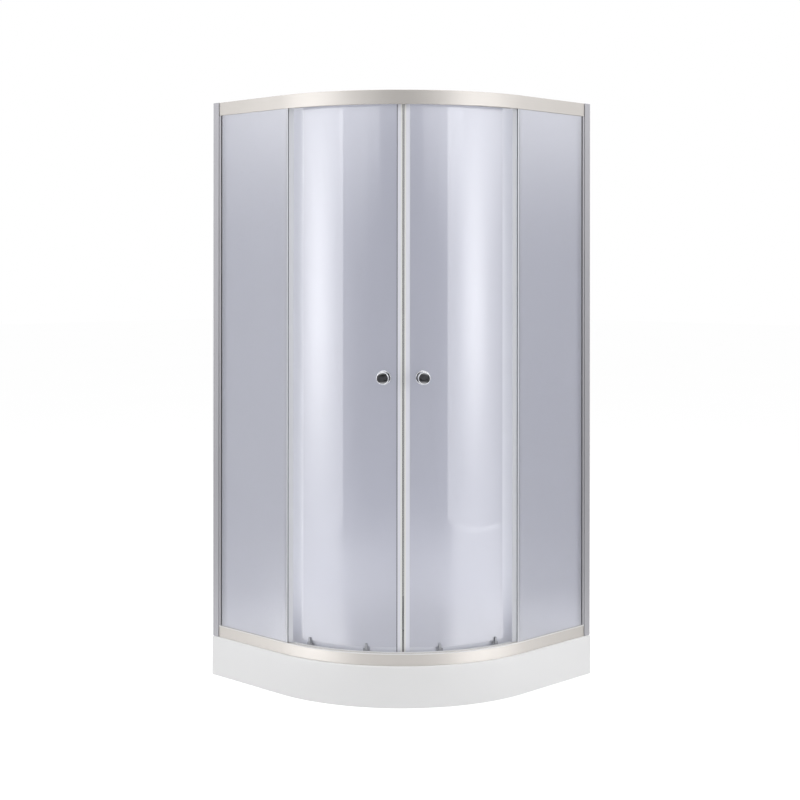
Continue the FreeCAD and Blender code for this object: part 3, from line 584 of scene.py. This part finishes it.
screw_tree, given = growing_tree("screw_on_each_point", {"Screw": "NodeSocketObject"})
shape = given["Points"].node("GeometryNodeObjectInfo", {}, {"Object": given["Screw"]}, out="Geometry")
settings = {"data_type": "FLOAT_VECTOR"}
facing = shape.node("GeometryNodeInputNamedAttribute", settings, {"Name": "facing"})
turn = shape.node("FunctionNodeAlignRotationToVector", {"axis": "Z"}, {"Vector": facing})
set_on_points(given, shape, turn)

SCREW_LINE, SCREW_FACE = 0.436, 0.415
SCREW_HEIGHTS = (0.1495, 0.27142, 1.0225, 1.77358, 1.898)
places = [(-SCREW_LINE, -SCREW_FACE, z) for z in SCREW_HEIGHTS]
places += [(SCREW_FACE, SCREW_LINE, z) for z in SCREW_HEIGHTS]
facings = [(0, 1, 0)] * len(SCREW_HEIGHTS) + [(-1, 0, 0)] * len(SCREW_HEIGHTS)
screw = screw_shape()
screws = grown("cross_head_screws", places, facings, screw_tree, {"Screw": screw, "Finish": steel})
bpy.data.objects.remove(screw)
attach(screws, "cabin")
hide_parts("frame_screws")

# %% [markdown]
# A threaded stud is a core with a ridge wound round it. In the tree, a spiral curve is the line of the
# ridge and a square on its corner is drawn along it. The inner half of the square stays in the core.

# %% Threaded studs under the tray
THREAD_STEPS, THREAD_SIDES = 20, 4


def numbers(*labels):
    """Inputs of a tree that are plain numbers."""
    return {label: "NodeSocketFloat" for label in labels}


def wound(radius, turns, rise, steps, wire, sides):
    """A wire that is wound up a spiral. Steps are those of one turn, and sides those of the wire."""
    spiral = {"Resolution": steps, "Rotations": turns, "Height": rise,
              "Start Radius": radius, "End Radius": radius}
    line = radius.node("GeometryNodeCurveSpiral", {}, spiral)
    line = line.node("GeometryNodeSetCurveNormal", {"mode": "Z_UP"}, {"Curve": line})
    ring = line.node("GeometryNodeCurvePrimitiveCircle", {}, {"Resolution": sides, "Radius": wire})
    sockets = {"Curve": line, "Profile Curve": ring, "Fill Caps": True}
    return line.node("GeometryNodeCurveToMesh", {}, sockets)


stud_sizes = numbers("Core Radius", "Ridge", "Pitch", "Length")
studs_tree, given = growing_tree("thread_on_each_point", stud_sizes)
radius, length, pitch = given["Core Radius"], given["Length"], given["Pitch"]
run = length - pitch * 2
turns = length.sum("DIVIDE", run, pitch)
ridge = wound(radius, turns, run, THREAD_STEPS, given["Ridge"], THREAD_SIDES)
lift = ridge.node("ShaderNodeCombineXYZ", {}, {"Z": pitch})
ridge = ridge.node("GeometryNodeTransform", {}, {"Geometry": ridge, "Translation": lift})
sockets = {"Vertices": RING_POINTS, "Radius": radius, "Depth": length}
core = ridge.node("GeometryNodeMeshCylinder", {}, sockets, out="Mesh")
half = core.node("ShaderNodeCombineXYZ", {}, {"Z": length * 0.5})
core = core.node("GeometryNodeTransform", {}, {"Geometry": core, "Translation": half})
stud = core.node("GeometryNodeJoinGeometry", {}, {"Geometry": [ridge, core]})
set_on_points(given, stud, (0, 0, 0))

STUD_LOW, STUD_HIGH = 0.004, 0.063
STUD_PLACES = ((-0.318, -0.318), (0.318, 0.318), (-0.318, 0.318), (0.19557, -0.19557), (0, 0))
sizes = {"Core Radius": 0.00435, "Ridge": 0.00064, "Pitch": 0.0015,
         "Length": STUD_HIGH - STUD_LOW, "Finish": steel}
places = [(x, y, STUD_LOW) for x, y in STUD_PLACES]
studs = grown("threaded_studs", places, [(0, 0, 1)] * len(places), studs_tree, sizes)
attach(studs, "cabin")
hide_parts("foot_studs")

# %% [markdown]
# A coil spring lifts the release of each lower roller, and it shortens when the button is pressed.
# Each spring is wound again as a round wire along a spiral, at its full height from seat to head.

# %% Release springs wound as wire
SPRING_TURNS = 6.0
SPRING_COIL, SPRING_WIRE = 0.00285, 0.0004
COIL_STEPS, WIRE_SIDES = 24, 12
coil_tree, given = growing_tree("coil_on_each_point", numbers("Coil Radius", "Wire", "Rise"))
coil = wound(given["Coil Radius"], SPRING_TURNS, given["Rise"], COIL_STEPS, given["Wire"], WIRE_SIDES)
set_on_points(given, coil, (0, 0, 0))

for side in SIDES:
    for end in ("lead", "trail"):
        spring_node = side + "_spring_" + end
        seat, head = (Vector(corner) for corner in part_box(spring_node))
        tall = head.z - seat.z
        foot = ((seat.x + head.x) / 2, (seat.y + head.y) / 2, seat.z + SPRING_WIRE)
        sizes = {"Coil Radius": SPRING_COIL, "Wire": SPRING_WIRE,
                 "Rise": tall - 2 * SPRING_WIRE, "Finish": steel}
        spring = grown(side + "_release_spring_" + end, [foot], [(0, 0, 1)], coil_tree, sizes)
        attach(spring, side + "_door")
        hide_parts(spring_node)
        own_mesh(spring)

# %% [markdown]
# ## The studio
# A pale floor, white surroundings and large soft lamps. The surroundings are plain white to the
# camera and to mirrors and glass, and light the cabin only weakly, so the lamps model its forms. The
# Light Path node tells which kind of ray asks.

# %% Floor and surroundings
scene = bpy.context.scene
scene.view_settings.view_transform = "Standard"
FLOOR_SIDE = 60.0
FLOOR_WHITE = 0.80
FLOOR_LIFT = 0.65
FILL = 0.42


def seen_by_eye_or_mirror(tree):
    """1 for rays from the camera, a mirror or a pane, and 0 for rays that carry diffuse light."""
    paths = tree.nodes.new("ShaderNodeLightPath")
    seen = Tone(tree, paths.outputs["Is Camera Ray"])
    seen = seen.sum("MAXIMUM", seen, Tone(tree, paths.outputs["Is Glossy Ray"]))
    return seen.sum("MAXIMUM", seen, Tone(tree, paths.outputs["Is Transmission Ray"]))


def stage_sheet(name, points, faces, material):
    """A sheet of the studio, which is not part of the cabin."""
    mesh = bpy.data.meshes.new(name)
    mesh.from_pydata(points, [], faces)
    mesh.materials.append(material)
    sheet = bpy.data.objects.new(name, mesh)
    bpy.context.collection.objects.link(sheet)
    return sheet


MATT = {"Roughness": 0.9, "Specular IOR Level": 0.0}
floor_paint, shader, place = finish("pale_floor", {**MATT, "Emission Strength": FLOOR_LIFT})
place.grain(0.8).between((FLOOR_WHITE,) * 3, (FLOOR_WHITE + 0.02,) * 3).into(shader, "Base Color")
seen_by_eye_or_mirror(place.tree).between((0, 0, 0), (1, 1, 1)).into(shader, "Emission Color")
corner = FLOOR_SIDE / 2
floor_points = [(-corner, -corner, 0), (corner, -corner, 0), (corner, corner, 0), (-corner, corner, 0)]
stage_sheet("studio_floor", floor_points, [(0, 1, 2, 3)], floor_paint)

world = bpy.data.worlds.new("white_surroundings")
scene.world = world
world.use_nodes = True
sky = world.node_tree.nodes["Background"]
sky.inputs["Color"].default_value = (1, 1, 1, 1)
(seen_by_eye_or_mirror(world.node_tree) * (1 - FILL) + FILL).into(sky, "Strength")
print("floor", FLOOR_SIDE, "m wide, fill light", FILL)

# %% [markdown]
# Two tall panels beside the camera show as upright bands in the curved doors. Two smaller ones higher
# up brighten the top rail, two at the sides the fixed panes, and one overhead lights the tray inside.
# All are area lamps that aim at the cabin and that the camera doesn't see.

# %% A soft panel
ARC_CENTRE = Vector((-0.1, 0.1, 0))
FRONT_BEARING = math.radians(-45)


def studio_point(bearing, distance, height):
    """A point round the doors: a bearing in degrees, positive to the camera's left of the front."""
    turn = FRONT_BEARING - math.radians(bearing)
    return ARC_CENTRE + Vector((math.cos(turn) * distance, math.sin(turn) * distance, height))


def panel(name, place, target, size, strength, glow):
    """A soft lamp aimed at a point. The glow is worked out from the place across and up the panel."""
    data = bpy.data.lights.new(name, "AREA")
    data.shape = "RECTANGLE"
    data.size, data.size_y = size
    data.energy = strength * math.pi * size[0] * size[1]
    lamp = bpy.data.objects.new(name, data)
    lamp.location = place
    lamp.rotation_euler = (target - place).to_track_quat("-Z", "Y").to_euler()
    lamp.visible_camera = False
    bpy.context.collection.objects.link(lamp)
    data.use_nodes = True
    tree = data.node_tree
    spot = Tone(tree, tree.nodes.new("ShaderNodeNewGeometry").outputs["Parametric"])
    glow(spot.part("X"), spot.part("Y")).into(tree.nodes["Emission"], "Strength")


print("the doors' arc is centred at", [round(x, 3) for x in ARC_CENTRE])

# %% [markdown]
# A lamp's panel is brighter in the middle than at its edges, and its glow must fade out where its
# mirror image in a pane would end in a hard line. The Geometry node gives the place on the panel as
# two numbers from 0 to 1, and smooth steps and humps over them draw the glow.

# %% Panels round the doors, each with its glow
def hump(value, middle, half_width):
    """1 at the middle and 0 beyond the half width, with a smooth fall on both sides."""
    return value.rise(middle - half_width, middle) * (1 - value.rise(middle, middle + half_width))


CORE_UP, CORE_HALF, CORE_GAIN = 0.40, 0.43, 1.25


def core_glow(across, up, middle, half_width):
    """A tall panel with a bright core, a little weaker towards its foot."""
    core = hump(across, middle, half_width) * hump(up, CORE_UP, CORE_HALF) * CORE_GAIN + 1
    return core * (up.rise(-0.2, 0.4) * 0.3 + 0.7)


def left_glow(across, up):
    """A core a little past the middle, and a soft start across."""
    return core_glow(across, up, 0.565, 0.39) * across.rise(-0.1, 0.25)


def right_glow(across, up):
    """A core before the middle, and a soft end across."""
    return core_glow(across, up, 0.38, 0.29) * (1 - across.rise(0.6, 1.2))


def top_glow(across, up):
    """Grows from nothing at the foot of the panel."""
    return up.rise(0.0, 0.75)


def even_glow(across, up):
    """Brightest in the middle, and fading gently to the edges."""
    return hump(across, 0.5, 0.9) * hump(up, 0.5, 0.9)


def left_side_glow(across, up):
    """Bright on one half only, dark at the foot and weaker again at the top."""
    return across.rise(0.5, 0.85) * hump(up, 0.6, 0.6)


def right_side_glow(across, up):
    """Weaker towards one side, dark at the foot and weaker again at the top."""
    return (1 - across.rise(0.2, 0.9) * 0.6) * hump(up, 0.6, 0.6)


LAMP_DISTANCE, TOP_DISTANCE = 3.2, 2.7
LEFT_BEARING, RIGHT_BEARING = 64.5, -58.5
LAMP_HEIGHT, TOP_HEIGHT, SIDE_HEIGHT = 1.5, 2.3, 2.55
DOOR_AIM, RAIL_AIM = studio_point(0, 0, LAMP_HEIGHT), studio_point(0, 0, 1.9)
OVERHEAD, TRAY_AIM = Vector((-0.05, 0.05, 3.7)), Vector((-0.05, 0.0501, 0))
LAMPS = (  # name, place, aim, width and height, strength, glow
    ("left_panel", studio_point(LEFT_BEARING, LAMP_DISTANCE, LAMP_HEIGHT),
     DOOR_AIM, (2.65, 2.9), 1.2, left_glow),
    ("right_panel", studio_point(RIGHT_BEARING, LAMP_DISTANCE, LAMP_HEIGHT),
     DOOR_AIM, (3.19, 2.9), 1.2, right_glow),
    ("left_top_panel", studio_point(30, TOP_DISTANCE, TOP_HEIGHT),
     RAIL_AIM, (1.4, 1.6), 1.0, top_glow),
    ("right_top_panel", studio_point(-28, TOP_DISTANCE, TOP_HEIGHT),
     RAIL_AIM, (1.4, 1.6), 0.75, top_glow),
    ("left_side_panel", studio_point(96, TOP_DISTANCE, SIDE_HEIGHT),
     RAIL_AIM, (1.6, 1.9), 1.7, left_side_glow),
    ("right_side_panel", studio_point(-96, TOP_DISTANCE, SIDE_HEIGHT),
     RAIL_AIM, (1.6, 1.9), 1.2, right_side_glow),
    ("overhead_panel", OVERHEAD, TRAY_AIM, (2.4, 2.4), 2.6, even_glow),
)
for lamp in LAMPS:
    panel(*lamp)
print("studio of", len(LAMPS), "lamps")

# %% [markdown]
# What else the glass mirrors are sheets that fade out at their edges. The mesh of such a sheet keeps
# a shade at each of its points, and the Attribute node reads it as the sheet's Alpha.

# %% Sheets with a shade at each point
def shaded_sheet(name, rows, shades, material):
    """A sheet of the studio through rows of points, with a shade kept at each point."""
    count = len(rows[0])
    faces = []
    for r in range(len(rows) - 1):
        for c in range(count - 1):
            low = r * count + c
            faces.append((low, low + 1, low + 1 + count, low + count))
    sheet = stage_sheet(name, [p for row in rows for p in row], faces, material)
    values = sheet.data.attributes.new("shade", "FLOAT", "POINT")
    values.data.foreach_set("value", [shade for row in shades for shade in row])
    sheet.visible_camera = False
    sheet.visible_shadow = False
    return sheet


def shade_of(place):
    """The shade that a sheet keeps at its points."""
    return place.node("ShaderNodeAttribute", {"attribute_name": "shade"}, {}, out="Fac")


def soft_step(value, start, end):
    """A smooth step from 0 to 1 between two values, worked out in Python."""
    share = min(max((value - start) / (end - start), 0), 1)
    return share * share * (3 - 2 * share)


print("shades along a fade:", [soft_step(quarter / 4, 0, 1) for quarter in range(5)])

# %% [markdown]
# Light that spills from a tall panel on to the floor before it is mirrored low down in the doors,
# so the upright bands run on to the bottom rail. Two fans of light lie on the floor, narrow by the
# cabin and wide at the panel's foot.

# %% Two fans of light on the floor
FAN_HEIGHT = 0.008
FAN_GLOW = 2.5
FAN_SKIRT = 0.07
FAN_START = 0.95
FAN_ROWS, FAN_COLUMNS = 12, 16
FADE_IN, FADE_OUT = 0.2, 0.75
FAR_TONE = 0.56
fan_light, shader, place = finish("floor_light", {**MATT, "Emission Strength": FAN_GLOW})
place.grain(0.8).between((0.02,) * 3, (0.03,) * 3).into(shader, "Base Color")
from_middle = place.node("ShaderNodeVectorMath", {"operation": "LENGTH"}, {0: place}, out="Value")
near_cabin = 1 - from_middle.rise(1.0, 2.2)
near_cabin.between((FAR_TONE,) * 3, (1, 1, 1)).into(shader, "Emission Color")
shade_of(place).into(shader, "Alpha")


def floor_fan(name, near, far, facing):
    """A fan of light between two bearings near the cabin and two at the foot of a panel."""
    shares = [column / FAN_COLUMNS for column in range(FAN_COLUMNS + 1)]
    ends = []
    for share in shares:
        foot = far[0] + (far[1] - far[0]) * share
        first = studio_point(near[0] + (near[1] - near[0]) * share, FAN_START, FAN_HEIGHT)
        last = studio_point(foot, LAMP_DISTANCE / math.cos(math.radians(foot - facing)), FAN_HEIGHT)
        ends.append((first, last))
    rows = [[first.lerp(last, row / FAN_ROWS) for first, last in ends] for row in range(FAN_ROWS + 1)]
    rows.append([point + Vector((0, 0, FAN_SKIRT)) for point in rows[-1]])
    fade = [soft_step(share, 0, FADE_IN) * (1 - soft_step(share, FADE_OUT, 1)) for share in shares]
    shades = [fade] * len(rows)
    fan = shaded_sheet(name, rows, shades, fan_light)
    fan.visible_diffuse = False


floor_fan("left_floor_fan", (20, 80), (40, 88), LEFT_BEARING)
floor_fan("right_floor_fan", (-18, -75), (-31, -84), RIGHT_BEARING)
print("fans of light on the floor, strength", FAN_GLOW)

# %% [markdown]
# Glass and chrome look empty with nothing but white to mirror. A dark curtain stands behind the
# camera, which never sees it, and its foot sweeps forward over the floor. It fades out towards the
# ceiling, the sides and the cabin, so its edges don't show as lines in the panes.

# %% Dark curtain behind the camera
CURTAIN_RADIUS = 7.0
FLOOR_RADII = (0.8, 1.2, 1.6, 2.0, 2.6, 3.2, 3.8, 4.6, 5.4, 6.2)
CURTAIN_HEIGHTS = (0.005, 0.4, 0.8, 1.1, 1.4, 1.7, 2.0, 2.3, 2.6, 2.9, 3.2, 3.6)
CURTAIN_BEARINGS = range(-110, 111, 5)
LEFT_SHADE = 0.6
RIGHT_SHADE = 0.78
SIDE_TOP, MIDDLE_RISE, TOP_FADE = 2.65, 0.6, 1.3
FLOOR_CLEAR, FLOOR_DARK, SIDE_SHORTER = 0.9, 5.0, 2.8


def curtain_shade(bearing, radius, height):
    """How dark the curtain is at a point: tallest in the middle, and fading forward on the floor."""
    aside = abs(bearing)
    top = SIDE_TOP + MIDDLE_RISE * (1 - soft_step(aside, 8, 30))
    upright = 1 - soft_step(height, top - TOP_FADE, top)
    forward = soft_step(radius, FLOOR_CLEAR, FLOOR_DARK - SIDE_SHORTER * soft_step(aside, 58, 78))
    side = LEFT_SHADE if bearing > 0 else RIGHT_SHADE
    sideways = side + (1 - side) * (1 - soft_step(aside, 25, 60))
    return upright * forward * sideways * (1 - soft_step(aside, 102, 110))


curtain_paint, shader, place = finish("dark_curtain", MATT)
drapes = place.grain(0.45, 2.0).rise(0.38, 0.62)
drapes.between((0.03, 0.03, 0.03), (0.17, 0.17, 0.18)).into(shader, "Base Color")
shade_of(place).into(shader, "Alpha")
course = [(radius, FAN_HEIGHT / 2) for radius in FLOOR_RADII]
course += [(CURTAIN_RADIUS, height) for height in CURTAIN_HEIGHTS]
rows = [[studio_point(b, radius, height) for b in CURTAIN_BEARINGS] for radius, height in course]
shades = [[curtain_shade(b, radius, height) for b in CURTAIN_BEARINGS] for radius, height in course]
curtain = shaded_sheet("studio_curtain", rows, shades, curtain_paint)
curtain.visible_diffuse = False
print("curtain of", len(course), "rows,", CURTAIN_RADIUS, "m from the centre of the doors' arc")
